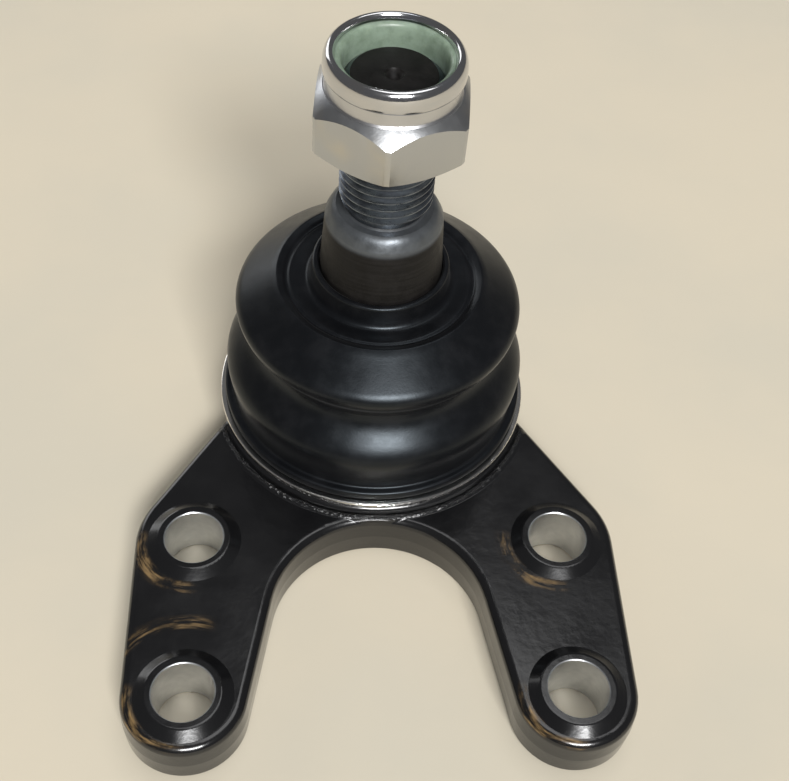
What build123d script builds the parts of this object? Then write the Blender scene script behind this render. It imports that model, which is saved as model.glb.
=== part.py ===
"""Suspension ball joint: a forged Y flange with a socket, a tapered ball stud, its rubber boot and lock nut.

The origin is the centre of the four bolt holes, on the flange's flat underside. +Z points up along the
stud, and the two bolt arms reach towards -Y. All sizes are in millimetres.
"""

from build123d import *
import math
import os

os.makedirs("parts", exist_ok=True)

# ---- flange: four M10 bolt holes in two arms around a U-shaped throat
BOLT_SPACING_X = 66.0
BOLT_SPACING_Y = 30.0
BOLT_HOLE_R = 5.25
BOLT_HOLE_CHAMFER = 0.2
STUD_OFFSET = 51.0  # from the bolt pattern's centre to the stud's axis
FLANGE_T = 9.8
FLANGE_DRAFT = 2.5  # degrees, each way from the forging's parting line
TOP_EDGE_R = 1.6
BOTTOM_EDGE_R = 0.8
ARM_END_R = 10.8
ARM_END_SETBACK = 0.6  # an arm's rounded end is centred this far behind its bolt hole
THROAT_R = 19.0
HIP_Y = 19.5  # where an arm's straight outer side would meet the sloping web
HIP_R = 15.0
WEB_ANGLE = 32.0  # degrees, from the web's sloping side to the Y axis
PAD_R = 6.5
PAD_RISE = 1.2
PAD_SLOPE = 32.0  # degrees, of the pad's flank
PAD_SINK = 0.3
PAD_EDGE_R = 0.8

# ---- socket boss
BOSS_R = 28.9
BOSS_RISE = 1.0  # its shoulder above the flange
BOSS_FOOT_R = 1.6
SPIGOT_R = 24.6
SPIGOT_RISE = 3.4
NECK_FOOT_R = 21.0
NECK_TOP_R = 17.6
NECK_LIP_T = 3.5
NECK_FLARE = 1.6
SOCKET_BORE_R = 15.0
NECK_EDGE_R = 1.0

# ---- stack in the bore, from the underside up
RING_RECESS = 0.4
SNAP_RING_T = 1.2
SNAP_RING_WIDTH = 2.2
SNAP_RING_GAP = 50.0  # degrees
SNAP_LUG_R = 1.9
SNAP_LUG_HOLE_R = 0.8
SNAP_GROOVE_DEPTH = 0.9
COVER_T = 3.0
COVER_LEDGE = 1.5
COVER_DISH_R = 8.0
COVER_DISH_DEPTH = 0.8
O_RING_D = 1.6
SPRING_T = 0.7
SPRING_RISE = 0.6
SPRING_R = 13.4
SPRING_HOLE_R = 6.0
LOWER_SEAT_FLOOR = 1.6
SEAT_SPLIT = 0.6  # each seat stops this far from the ball's equator
UPPER_SEAT_H = 5.4  # top of the upper seat above the ball's centre

# ---- ball stud
BALL_R = 12.5
NECK_R = 7.0
NECK_CLEAR_H = 13.5  # top of the straight neck above the ball's centre
TAPER_SMALL_R = 10.2
TAPER_RATIO = 1 / 16  # radius gained per unit of length: an SAE 1:8 taper
TAPER_TOP_Z = 56.8
TAPER_LENGTH = 18.0
TAPER_CROWN = 2.5
TAPER_CROWN_R = 8.4
UNDERCUT_R = 6.9
UNDERCUT_L = 1.7
THREAD_R = 8.0  # M16 x 1.5
STUD_TOP_Z = 85.7
STUD_CHAMFER = 1.1
CENTRE_HOLE_R = 1.6
CENTRE_HOLE_DEPTH = 1.6

# ---- boot and its rings
BOOT_WALL = 1.8
BOOT_RING_R = 29.8
BOOT_RING_T = 1.2
BOOT_RING_LEG_T = 1.3
BOOT_RING_LEG_H = 3.2
BOOT_RING_EDGE_R = 0.3
BEAD_R = 28.9
BEAD_H = 2.2
BEAD_STEP = 1.4  # the bellows stands this far inside the bead
LOWER_LOBE_R = 28.1
LOWER_LOBE_Z = 21.5
CREASE_R = 23.0
CREASE_Z = 29.8
UPPER_LOBE_R = 26.1
UPPER_LOBE_Z = 36.2
CROWN_R = 18.8
CROWN_Z = 42.5
CROWN_SLOPE = 37.0  # degrees, of the upper lobe where it meets the crown's edge
DISH_R = 15.6
DISH_Z = 41.6
LIP_TOP_Z = 45.8
LIP_TOP_R = 12.3
LIP_DEPTH = 6.2
LIP_RING_D = 1.4

# ---- lock nut: M16 x 1.5, 24 mm across flats, with a nylon collar
NUT_FLATS = 24.0
NUT_CORNER_R = 13.6
NUT_BOTTOM_Z = 74.0
NUT_HEX_H = 9.7
NUT_H = 16.0
NUT_TOP_CHAMFER = 2.2
NUT_BOTTOM_CHAMFER = 0.8
NUT_TURN = -5.0  # degrees that one corner stands from -Y
COLLAR_R = 11.2
COLLAR_MOUTH_R = 9.3
COLLAR_WALL = 1.0
COLLAR_ROLL_H = 1.6
NYLON_TOP_DROP = 0.9
NYLON_H = 4.6
NYLON_EDGE = 0.5
BORE_CHAMFER = 0.8

# ---- clearances
FIT_GAP = 0.05  # turned fits: seats in the bore, ball in its seats, nut on the thread
SOFT_GAP = 0.3  # rubber beside steel

# ---- heights and radii that follow from the sizes above
PARTING_Z = FLANGE_T / 2
PAD_TOP_Z = FLANGE_T + PAD_RISE
HALF_X, HALF_Y = BOLT_SPACING_X / 2, BOLT_SPACING_Y / 2
SIDE_X = HALF_X + ARM_END_R
BOSS_TOP_Z = FLANGE_T + BOSS_RISE
SPIGOT_Z = BOSS_TOP_Z + SPIGOT_RISE
COVER_Z = RING_RECESS + SNAP_RING_T
COVER_TOP_Z = COVER_Z + COVER_T
COVER_BORE_R = SOCKET_BORE_R + COVER_LEDGE
SNAP_GROOVE_R = COVER_BORE_R + SNAP_GROOVE_DEPTH
LOWER_SEAT_Z = COVER_TOP_Z + SPRING_T + SPRING_RISE
BALL_CAVITY_R = BALL_R + FIT_GAP
BALL_Z = LOWER_SEAT_Z + LOWER_SEAT_FLOOR + BALL_CAVITY_R
UPPER_SEAT_TOP_Z = BALL_Z + UPPER_SEAT_H
SEAT_MOUTH_R = math.sqrt(BALL_CAVITY_R**2 - UPPER_SEAT_H**2)
NECK_TOP_Z = UPPER_SEAT_TOP_Z + NECK_LIP_T
BOOT_RING_TOP_Z = BOSS_TOP_Z + BOOT_RING_T
TAPER_FOOT_Z = TAPER_TOP_Z - TAPER_LENGTH
CROWN_TOP_Z = TAPER_TOP_Z + TAPER_CROWN
THREAD_Z = CROWN_TOP_Z + UNDERCUT_L
NUT_TOP_Z = NUT_BOTTOM_Z + NUT_H
NUT_HEX_TOP_Z = NUT_BOTTOM_Z + NUT_HEX_H
ring_leg_r = SPIGOT_R + FIT_GAP + BOOT_RING_LEG_T

stud_axis = Axis((0, STUD_OFFSET, 0), (0, 0, 1))
# radius across, height up
stud_section = Plane(origin=(0, STUD_OFFSET, 0), x_dir=(1, 0, 0), z_dir=(0, -1, 0))


def level(height):
    """The level plane at a height, centred on the stud's axis."""
    return Plane(origin=(0, STUD_OFFSET, height), x_dir=(1, 0, 0), z_dir=(0, 0, 1))


def taper_radius(height):
    """The stud taper's radius at a height."""
    return TAPER_SMALL_R + (TAPER_TOP_Z - height) * TAPER_RATIO


def turned(*outline):
    """A ring or disc turned about the stud's axis, from the corners of its half section."""
    with BuildPart() as ring:
        with BuildSketch(stud_section):
            with BuildLine():
                Polyline(*outline, close=True)
            make_face()
        revolve(axis=stud_axis)
    return ring.part


def circles(builder, radius):
    """The part's circular edges of one radius."""
    return builder.edges().filter_by(GeomType.CIRCLE).filter_by(lambda e: math.isclose(e.radius, radius))


def save(part, name):
    """Label a finished part and write its STEP file."""
    part.label = name
    export_step(part, f"parts/{name}.step")


# ---- forged housing
arm_end_y = ARM_END_SETBACK - HALF_Y
throat_reach = math.hypot(HALF_X, arm_end_y)
tangent_angle = math.acos((THROAT_R + ARM_END_R) / throat_reach) - math.atan2(-arm_end_y, HALF_X)
tangent = Vector(math.cos(tangent_angle), math.sin(tangent_angle))
throat_end = tangent * THROAT_R
arm_start = Vector(HALF_X, arm_end_y) - tangent * ARM_END_R
arm_tip = Vector(HALF_X, arm_end_y - ARM_END_R)
throat_mid_angle = (math.pi / 2 + tangent_angle) / 2
throat_mid = Vector(math.cos(throat_mid_angle), math.sin(throat_mid_angle)) * THROAT_R
web_end_x = SIDE_X - (STUD_OFFSET - HIP_Y) * math.tan(math.radians(WEB_ANGLE))

with BuildSketch(Plane.XY.offset(PARTING_Z)) as flange_outline:
    with BuildLine():
        ThreePointArc((0, THROAT_R), throat_mid, throat_end)
        Line(throat_end, arm_start)
        ThreePointArc(arm_start, arm_tip, (SIDE_X, arm_end_y))
        FilletPolyline((SIDE_X, arm_end_y), (SIDE_X, HIP_Y), (web_end_x, STUD_OFFSET), radius=HIP_R)
        Polyline((web_end_x, STUD_OFFSET), (0, STUD_OFFSET), (0, THROAT_R))
    make_face()
    mirror(about=Plane.YZ)


# each pad's flank runs on a little way under the flange's surface
pad_depth = PAD_RISE + PAD_SINK
pad_foot_r = PAD_R + pad_depth / math.tan(math.radians(PAD_SLOPE))

with BuildPart() as bolt_pads:
    with Locations((0, 0, PAD_TOP_Z)):
        with GridLocations(BOLT_SPACING_X, BOLT_SPACING_Y, 2, 2):
            Cone(pad_foot_r, PAD_R, pad_depth, align=(Align.CENTER, Align.CENTER, Align.MAX))
    fillet(bolt_pads.edges().group_by(Axis.Z)[-1], PAD_EDGE_R)

with BuildPart() as boss_foot:
    with BuildSketch(stud_section):
        with BuildLine():
            Polyline(
                (BOSS_R, BOSS_TOP_Z), (BOSS_R - BOSS_FOOT_R, BOSS_TOP_Z), (BOSS_R - BOSS_FOOT_R, PARTING_Z),
                (BOSS_R + BOSS_FOOT_R, PARTING_Z), (BOSS_R + BOSS_FOOT_R, FLANGE_T),
            )
            RadiusArc((BOSS_R + BOSS_FOOT_R, FLANGE_T), (BOSS_R, BOSS_TOP_Z), BOSS_FOOT_R)
        make_face()
    revolve(axis=stud_axis)
    with BuildSketch(Plane.XY.offset(PARTING_Z)):
        add(flange_outline.sketch)
        offset(amount=-TOP_EDGE_R)
    extrude(amount=BOSS_TOP_Z - PARTING_Z, mode=Mode.INTERSECT)

with BuildPart() as housing_forging:
    # the Y as forged: drafted both ways from the parting line, with its edges rounded
    extrude(flange_outline.sketch, amount=FLANGE_T - PARTING_Z, taper=FLANGE_DRAFT)
    extrude(flange_outline.sketch, amount=PARTING_Z, dir=(0, 0, -1), taper=FLANGE_DRAFT)
    fillet(housing_forging.edges().group_by(Axis.Z)[-1], TOP_EDGE_R)
    fillet(housing_forging.edges().group_by(Axis.Z)[0], BOTTOM_EDGE_R)
    add(bolt_pads.part)
    add(boss_foot.part)

    # the boss with its shoulder and spigot, and the socket's neck that stands inside the boot
    with BuildSketch(stud_section) as boss_section:
        with BuildLine():
            Polyline(
                (0, 0), (BOSS_R, 0), (BOSS_R, BOSS_TOP_Z), (SPIGOT_R, BOSS_TOP_Z), (SPIGOT_R, SPIGOT_Z),
                (NECK_FOOT_R, SPIGOT_Z), (NECK_TOP_R, NECK_TOP_Z), (0, NECK_TOP_Z), close=True,
            )
        make_face()
        corners = boss_section.vertices()
        fillet(corners.group_by(Axis.Z)[-1].sort_by(Axis.X)[-1], NECK_EDGE_R)
        fillet(corners.group_by(Axis.Z)[0].sort_by(Axis.X)[-1], BOTTOM_EDGE_R)
    revolve(axis=stud_axis)

    # the bore for the seats, open below for the cover and its snap ring, and flared above for the
    # stud's swing
    with BuildSketch(stud_section):
        with BuildLine():
            Polyline(
                (0, 0), (COVER_BORE_R, 0), (COVER_BORE_R, RING_RECESS), (SNAP_GROOVE_R, RING_RECESS),
                (SNAP_GROOVE_R, COVER_Z), (COVER_BORE_R, COVER_Z), (COVER_BORE_R, COVER_TOP_Z),
                (SOCKET_BORE_R, COVER_TOP_Z), (SOCKET_BORE_R, UPPER_SEAT_TOP_Z),
                (SEAT_MOUTH_R, UPPER_SEAT_TOP_Z),
                (SEAT_MOUTH_R + NECK_FLARE, NECK_TOP_Z), (0, NECK_TOP_Z), close=True,
            )
        make_face()
    revolve(axis=stud_axis, mode=Mode.SUBTRACT)

    with Locations((0, 0, PAD_TOP_Z)):
        with GridLocations(BOLT_SPACING_X, BOLT_SPACING_Y, 2, 2):
            Hole(BOLT_HOLE_R, PAD_TOP_Z)
    chamfer(circles(housing_forging, BOLT_HOLE_R), BOLT_HOLE_CHAMFER)
save(housing_forging.part, "housing_forging")

# ---- bearing: two hardened seats around the ball, pressed together by a disc spring
with BuildPart() as upper_seat:
    add(turned(
        (0, BALL_Z + SEAT_SPLIT), (SOCKET_BORE_R - FIT_GAP, BALL_Z + SEAT_SPLIT),
        (SOCKET_BORE_R - FIT_GAP, UPPER_SEAT_TOP_Z), (0, UPPER_SEAT_TOP_Z),
    ))
    with Locations((0, STUD_OFFSET, BALL_Z)):
        Sphere(BALL_CAVITY_R, mode=Mode.SUBTRACT)
save(upper_seat.part, "upper_seat")

with BuildPart() as lower_seat:
    add(turned(
        (SPRING_HOLE_R, LOWER_SEAT_Z), (SOCKET_BORE_R - FIT_GAP, LOWER_SEAT_Z),
        (SOCKET_BORE_R - FIT_GAP, BALL_Z - SEAT_SPLIT), (SPRING_HOLE_R, BALL_Z - SEAT_SPLIT),
    ))
    with Locations((0, STUD_OFFSET, BALL_Z)):
        Sphere(BALL_CAVITY_R, mode=Mode.SUBTRACT)
save(lower_seat.part, "lower_seat")

with BuildPart() as preload_spring:
    add(turned(
        (SPRING_HOLE_R, COVER_TOP_Z + SPRING_RISE), (SPRING_R, COVER_TOP_Z),
        (SPRING_R, COVER_TOP_Z + SPRING_T), (SPRING_HOLE_R, COVER_TOP_Z + SPRING_T + SPRING_RISE),
    ))
save(preload_spring.part, "preload_spring")

# ---- bottom closure: a cover with an O-ring in its rim, held by a snap ring
cover_r = COVER_BORE_R - FIT_GAP
groove_mid_z = COVER_Z + COVER_T / 2
groove_r = cover_r - O_RING_D

with BuildPart() as bottom_cover:
    add(turned(
        (0, COVER_Z), (cover_r, COVER_Z), (cover_r, groove_mid_z - O_RING_D / 2),
        (groove_r, groove_mid_z - O_RING_D / 2), (groove_r, groove_mid_z + O_RING_D / 2),
        (cover_r, groove_mid_z + O_RING_D / 2), (cover_r, COVER_TOP_Z), (0, COVER_TOP_Z),
    ))
    with BuildSketch(level(COVER_Z)):
        Circle(COVER_DISH_R)
    extrude(amount=COVER_DISH_DEPTH, mode=Mode.SUBTRACT)
save(bottom_cover.part, "bottom_cover")

with BuildPart() as cover_o_ring:
    with Locations((0, STUD_OFFSET, groove_mid_z)):
        Torus(cover_r - O_RING_D / 2, O_RING_D / 2 - FIT_GAP / 2)
save(cover_o_ring.part, "cover_o_ring")

ring_outer_r = SNAP_GROOVE_R - FIT_GAP
ring_inner_r = ring_outer_r - SNAP_RING_WIDTH
lug_turn = SNAP_RING_GAP / 2 + math.degrees(SNAP_LUG_R / ring_inner_r)

with BuildPart() as snap_ring:
    with BuildSketch(level(RING_RECESS)):
        Circle(ring_outer_r)
        Circle(ring_inner_r, mode=Mode.SUBTRACT)
        with BuildLine():
            gap_edge = Vector(0, -ring_outer_r / math.cos(math.radians(SNAP_RING_GAP / 2)))
            Polyline(
                (0, 0), gap_edge.rotate(Axis.Z, -SNAP_RING_GAP / 2),
                gap_edge.rotate(Axis.Z, SNAP_RING_GAP / 2),
                close=True,
            )
        make_face(mode=Mode.SUBTRACT)
        for side in (-1, 1):
            with PolarLocations(ring_inner_r, 1, start_angle=-90 + side * lug_turn):
                Circle(SNAP_LUG_R)
                Circle(SNAP_LUG_HOLE_R, mode=Mode.SUBTRACT)
    extrude(amount=SNAP_RING_T)
save(snap_ring.part, "snap_ring")

# ---- ball stud
shoulder_r = taper_radius(TAPER_FOOT_Z)

with BuildPart() as ball_stud:
    with BuildSketch(stud_section):
        with BuildLine():
            flare = Spline(
                (NECK_R, BALL_Z + NECK_CLEAR_H), (shoulder_r, TAPER_FOOT_Z),
                tangents=((0, 1), (TAPER_RATIO, -1)), tangent_scalars=(1, -1),
            )
            Polyline(
                flare @ 1, (TAPER_SMALL_R, TAPER_TOP_Z), (TAPER_CROWN_R, CROWN_TOP_Z),
                (UNDERCUT_R, CROWN_TOP_Z),
                (UNDERCUT_R, THREAD_Z), (THREAD_R, THREAD_Z), (THREAD_R, STUD_TOP_Z - STUD_CHAMFER),
                (THREAD_R - STUD_CHAMFER, STUD_TOP_Z), (CENTRE_HOLE_R, STUD_TOP_Z),
                (0, STUD_TOP_Z - CENTRE_HOLE_DEPTH), (0, BALL_Z), (NECK_R, BALL_Z), flare @ 0,
            )
        make_face()
    revolve(axis=stud_axis)
    with Locations((0, STUD_OFFSET, BALL_Z)):
        Sphere(BALL_R)
save(ball_stud.part, "ball_stud")

# ---- boot: a two-lobe bellows between a steel ring on the boss and a lip round the stud's taper
with BuildPart() as boot_ring:
    add(turned(
        (SPIGOT_R + FIT_GAP, BOSS_TOP_Z), (BOOT_RING_R, BOSS_TOP_Z), (BOOT_RING_R, BOOT_RING_TOP_Z),
        (ring_leg_r, BOOT_RING_TOP_Z), (ring_leg_r, BOSS_TOP_Z + BOOT_RING_LEG_H),
        (SPIGOT_R + FIT_GAP, BOSS_TOP_Z + BOOT_RING_LEG_H),
    ))
    fillet(circles(boot_ring, BOOT_RING_R), BOOT_RING_EDGE_R)
save(boot_ring.part, "boot_ring")

bead_z = BOOT_RING_TOP_Z + SOFT_GAP
lip_foot_z = LIP_TOP_Z - LIP_DEPTH
lip_bore_r = taper_radius(lip_foot_z) + SOFT_GAP
half_wall = BOOT_WALL / 2
lip_groove_r = lip_bore_r + half_wall
lip_groove_mid_r = lip_groove_r + LIP_RING_D / 2
lip_root_r = lip_groove_r + LIP_RING_D + half_wall


def boot_skin(inset, foot_r):
    """The bellows' half section at some depth under its outer surface, from its foot to the crown's edge."""
    slope = math.radians(CROWN_SLOPE)
    return Spline(
        (foot_r, bead_z + BEAD_H / 2), (LOWER_LOBE_R - inset, LOWER_LOBE_Z), (CREASE_R - inset, CREASE_Z),
        (UPPER_LOBE_R - inset, UPPER_LOBE_Z), (CROWN_R - inset * math.tan(slope / 2), CROWN_Z - inset),
        tangents=((0, 1), (0, 1), (0, 1), (0, 1), (-math.cos(slope), math.sin(slope))),
    )


with BuildPart() as dust_boot:
    with BuildSketch(stud_section):
        with BuildLine():
            outer = boot_skin(0, BEAD_R - BEAD_STEP)
            inner = boot_skin(BOOT_WALL, ring_leg_r + SOFT_GAP)
            Line(outer @ 0, inner @ 0)
            Polyline(outer @ 1, (DISH_R, DISH_Z), (DISH_R, DISH_Z - BOOT_WALL), inner @ 1)
        make_face()
        with Locations(((ring_leg_r + SOFT_GAP + BEAD_R) / 2, bead_z + BEAD_H / 2)):
            Rectangle(BEAD_R - ring_leg_r - SOFT_GAP, BEAD_H)
        with BuildLine():
            dish = TangentArc((DISH_R, DISH_Z), (LIP_TOP_R, LIP_TOP_Z), tangent=(-1, 0))
            Polyline(
                dish @ 1, (taper_radius(LIP_TOP_Z) + SOFT_GAP, LIP_TOP_Z), (lip_bore_r, lip_foot_z),
                (lip_root_r, lip_foot_z), (DISH_R + half_wall, DISH_Z - half_wall), dish @ 0,
            )
        make_face()
        with Locations((lip_groove_mid_r, lip_foot_z)):
            Rectangle(LIP_RING_D, LIP_RING_D, align=(Align.CENTER, Align.MIN), mode=Mode.SUBTRACT)
    revolve(axis=stud_axis)
save(dust_boot.part, "dust_boot")

with BuildPart() as boot_lip_ring:
    with Locations((0, STUD_OFFSET, lip_foot_z + LIP_RING_D / 2)):
        Torus(lip_groove_mid_r, LIP_RING_D / 2 - FIT_GAP)
save(boot_lip_ring.part, "boot_lip_ring")

# ---- lock nut and its nylon insert
thread_bore_r = THREAD_R + FIT_GAP
pocket_r = COLLAR_R - COLLAR_WALL
nylon_top_z = NUT_TOP_Z - NYLON_TOP_DROP
nylon_z = nylon_top_z - NYLON_H
roll_z = NUT_TOP_Z - COLLAR_ROLL_H

with BuildPart() as lock_nut:
    with BuildSketch(level(NUT_BOTTOM_Z)):
        RegularPolygon(NUT_FLATS / 2, 6, major_radius=False, rotation=NUT_TURN - 90)
    extrude(amount=NUT_HEX_H)
    add(
        turned(
            (0, NUT_BOTTOM_Z), (NUT_FLATS / 2, NUT_BOTTOM_Z),
            (NUT_CORNER_R, NUT_BOTTOM_Z + NUT_BOTTOM_CHAMFER),
            (NUT_CORNER_R, NUT_HEX_TOP_Z - NUT_TOP_CHAMFER), (COLLAR_R, NUT_HEX_TOP_Z), (0, NUT_HEX_TOP_Z),
        ),
        mode=Mode.INTERSECT,
    )
    with BuildSketch(stud_section):
        with BuildLine():
            Line((0, NUT_HEX_TOP_Z), (COLLAR_R, NUT_HEX_TOP_Z))
            Line((COLLAR_R, NUT_HEX_TOP_Z), (COLLAR_R, roll_z))
            EllipticalCenterArc(
                (COLLAR_MOUTH_R, roll_z), COLLAR_R - COLLAR_MOUTH_R, COLLAR_ROLL_H, arc_size=90,
            )
            Polyline((COLLAR_MOUTH_R, NUT_TOP_Z), (0, NUT_TOP_Z), (0, NUT_HEX_TOP_Z))
        make_face()
    revolve(axis=stud_axis)
    add(
        turned(
            (0, NUT_BOTTOM_Z), (thread_bore_r + BORE_CHAMFER, NUT_BOTTOM_Z),
            (thread_bore_r, NUT_BOTTOM_Z + BORE_CHAMFER), (thread_bore_r, nylon_z), (pocket_r, nylon_z),
            (pocket_r, nylon_top_z - NYLON_EDGE), (COLLAR_MOUTH_R, nylon_top_z), (COLLAR_MOUTH_R, NUT_TOP_Z),
            (0, NUT_TOP_Z),
        ),
        mode=Mode.SUBTRACT,
    )
save(lock_nut.part, "lock_nut")

with BuildPart() as nylon_insert:
    add(turned(
        (thread_bore_r, nylon_z), (pocket_r - FIT_GAP, nylon_z),
        (pocket_r - FIT_GAP, nylon_top_z - NYLON_EDGE),
        (COLLAR_MOUTH_R - FIT_GAP, nylon_top_z - FIT_GAP),
        (thread_bore_r + NYLON_EDGE, nylon_top_z - FIT_GAP),
        (thread_bore_r, nylon_top_z - NYLON_EDGE),
    ))
save(nylon_insert.part, "nylon_insert")
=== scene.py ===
"""Dresses the suspension ball joint: paint, rubber, zinc, phosphate and nylon over the fixed frame.

The sub-assemblies are the forged housing with its bearing, the rubber boot, the ball stud and the lock nut.
Sizes in the classes are in millimetres unless a name says otherwise; Blender's own units are metres.
"""

import logging
import math
from collections.abc import Iterator, Sequence
from contextlib import contextmanager
from dataclasses import dataclass, replace
from enum import Enum

import bpy
from mathutils import Matrix, Vector


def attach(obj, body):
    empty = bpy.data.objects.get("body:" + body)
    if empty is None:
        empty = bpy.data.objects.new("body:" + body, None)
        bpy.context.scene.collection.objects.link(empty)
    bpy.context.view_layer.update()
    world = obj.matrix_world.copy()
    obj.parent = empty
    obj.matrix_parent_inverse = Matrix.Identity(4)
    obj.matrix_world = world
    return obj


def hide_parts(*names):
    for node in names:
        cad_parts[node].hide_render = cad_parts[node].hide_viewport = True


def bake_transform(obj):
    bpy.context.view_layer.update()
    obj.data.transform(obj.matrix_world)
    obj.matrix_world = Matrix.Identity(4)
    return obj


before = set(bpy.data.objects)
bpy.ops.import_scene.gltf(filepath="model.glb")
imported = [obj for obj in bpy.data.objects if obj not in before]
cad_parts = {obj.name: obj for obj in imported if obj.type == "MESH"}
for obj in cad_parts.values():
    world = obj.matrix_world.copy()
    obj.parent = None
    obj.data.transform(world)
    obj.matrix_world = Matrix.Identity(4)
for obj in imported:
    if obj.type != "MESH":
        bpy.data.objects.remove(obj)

LOG = logging.getLogger("ball_joint")
MM = 0.001
STUD_Y = 51.0
BALL_Z = 20.05
MERGE_M = 1e-6

Point = tuple[float, float]
Outline = list[Point]
Place = tuple[float, float, float]
Colour = tuple[float, float, float]
Socket = bpy.types.NodeSocket

UP: Point = (0.0, 1.0)
INWARD: Point = (-1.0, 0.0)


class Body(Enum):
    """The bodies of the frame that pieces ride on."""

    HOUSING = "housing"
    BOOT = "boot"
    BOOT_LIP = "boot_lip"
    STUD = "stud"
    NUT_COLLAR = "nut_collar"
    NUT = "nut"


class Slot(Enum):
    """Names of the record's material slots; the pieces here are dressed with their own finishes instead."""

    PHOSPHATE = "phosphate_steel"
    STUD = "stud_steel"
    ZINC = "zinc_plate"
    RUBBER = "boot_rubber"
    NYLON = "nylon"


class Sum(Enum):
    """The sums that the finishes do on values at each point."""

    ADD = "ADD"
    LESS = "SUBTRACT"
    TIMES = "MULTIPLY"
    OVER = "DIVIDE"
    LARGER = "MAXIMUM"
    SIZE = "ABSOLUTE"
    SIGN = "SIGN"
    BELOW = "LESS_THAN"
    ANGLE = "ARCTAN2"


class Combine(Enum):
    """How a tool shape works on a piece."""

    CUT_AWAY = "DIFFERENCE"
    KEEP_COMMON = "INTERSECT"


# ---------------------------------------------------------------- outlines


def arc(centre: Point, radius: float, start: float, end: float, steps: int) -> Outline:
    """Points along a circular arc of a half section.

    Args:
        centre: The arc's centre, radius out and height up.
        radius: The arc's radius.
        start: Angle of the first point in degrees, from straight out.
        end: Angle of the last point in degrees.
        steps: How many runs the arc is divided into.

    Returns:
        The arc's points, both ends included.
    """
    angles = (math.radians(start + (end - start) * i / steps) for i in range(steps + 1))
    return [(centre[0] + radius * math.cos(a), centre[1] + radius * math.sin(a)) for a in angles]


def sweep(stations: Sequence[tuple[Point, Point]], steps: int) -> Outline:
    """A smooth curve through stations that each have a place and a direction.

    Args:
        stations: Pairs of a point and the unit direction that the curve has there.
        steps: How many runs lie between two stations.

    Returns:
        The curve's points, both ends included.
    """
    points: Outline = [stations[0][0]]
    for (p0, d0), (p1, d1) in zip(stations, stations[1:]):
        reach = math.dist(p0, p1)
        for i in range(1, steps + 1):
            t = i / steps
            a, b = 2 * t**3 - 3 * t**2 + 1, (t**3 - 2 * t**2 + t) * reach
            c, d = 3 * t**2 - 2 * t**3, (t**3 - t**2) * reach
            points.append(tuple(a * p0[k] + b * d0[k] + c * p1[k] + d * d1[k] for k in (0, 1)))
    return points


# ---------------------------------------------------------------- modelling steps


def deselect() -> None:
    """Leave nothing selected and nothing active."""
    if bpy.context.object and bpy.context.object.mode != "OBJECT":
        bpy.ops.object.mode_set(mode="OBJECT")
    bpy.ops.object.select_all(action="DESELECT")
    bpy.context.view_layer.objects.active = None


def pick(piece: bpy.types.Object) -> None:
    """Make one piece the only selected and active object.

    Args:
        piece: The piece to select.
    """
    deselect()
    piece.select_set(True)
    bpy.context.view_layer.objects.active = piece


@contextmanager
def editing(piece: bpy.types.Object) -> Iterator[None]:
    """Hold a piece in edit mode for the steps inside the block.

    Args:
        piece: The piece to edit.

    Returns:
        The block's context, which gives nothing.
    """
    pick(piece)
    bpy.ops.object.mode_set(mode="EDIT")
    yield
    bpy.ops.object.mode_set(mode="OBJECT")


def add_modifier(piece: bpy.types.Object, kind: str, **settings: object) -> None:
    """Add one modifier to a piece and apply it.

    Args:
        piece: The piece to finish.
        kind: The modifier's type.
        settings: Values for the modifier's properties.
    """
    pick(piece)
    bpy.ops.object.modifier_add(type=kind)
    modifier = piece.modifiers[-1]
    for name, value in settings.items():
        setattr(modifier, name, value)
    bpy.ops.object.modifier_apply(modifier=modifier.name)


def combine(piece: bpy.types.Object, tool: bpy.types.Object, how: Combine) -> None:
    """Cut or trim a piece with a tool shape, which is then removed.

    Args:
        piece: The piece that stays.
        tool: The shape that works on it.
        how: Whether the tool's shape is cut away or only what both share is kept.
    """
    add_modifier(piece, "BOOLEAN", operation=how.value, solver="EXACT", object=tool)
    pick(tool)
    bpy.ops.object.delete()


def named(name: str) -> bpy.types.Object:
    """Name the object that was just added, and its data.

    Args:
        name: The name of both.

    Returns:
        The object.
    """
    piece = bpy.context.object
    piece.name = piece.data.name = name
    return piece


def extrude_run(start: Point, end: Point) -> None:
    """Extrude what is selected along one run of a half section, in millimetres."""
    step = ((end[0] - start[0]) * MM, 0, (end[1] - start[1]) * MM)
    bpy.ops.mesh.extrude_region_move(TRANSFORM_OT_translate={"value": step})


def merge_points() -> None:
    """Merge points that lie on each other, and leave everything selected."""
    bpy.ops.mesh.select_all(action="SELECT")
    bpy.ops.mesh.remove_doubles(threshold=MERGE_M)
    bpy.ops.mesh.select_all(action="SELECT")


def turn(name: str, outline: Outline, steps: int) -> bpy.types.Object:
    """Turn a closed half section about the stud's axis.

    Args:
        name: The piece's name.
        outline: Corners of the half section, radius out and height up, in millimetres.
        steps: How many facets the full turn has.

    Returns:
        The turned piece, closed and with its faces outwards.
    """
    deselect()
    start_r, start_z = outline[0]
    bpy.ops.mesh.primitive_plane_add(size=MM, location=(start_r * MM, STUD_Y * MM, start_z * MM))
    piece = named(name)
    bpy.ops.object.transform_apply(location=True)
    with editing(piece):
        bpy.ops.mesh.select_all(action="SELECT")
        bpy.ops.mesh.merge(type="CENTER")
        for start, end in zip(outline, outline[1:] + outline[:1]):
            extrude_run(start, end)
        merge_points()
        bpy.ops.mesh.spin(steps=steps, angle=math.tau, center=on_axis(0.0), axis=(0, 0, 1))
        merge_points()
        bpy.ops.mesh.normals_make_consistent(inside=False)
    return piece


def smooth(piece: bpy.types.Object, angle: float) -> None:
    """Shade a piece smooth, apart from edges sharper than an angle in degrees."""
    pick(piece)
    bpy.ops.object.shade_smooth_by_angle(angle=math.radians(angle))


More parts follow.
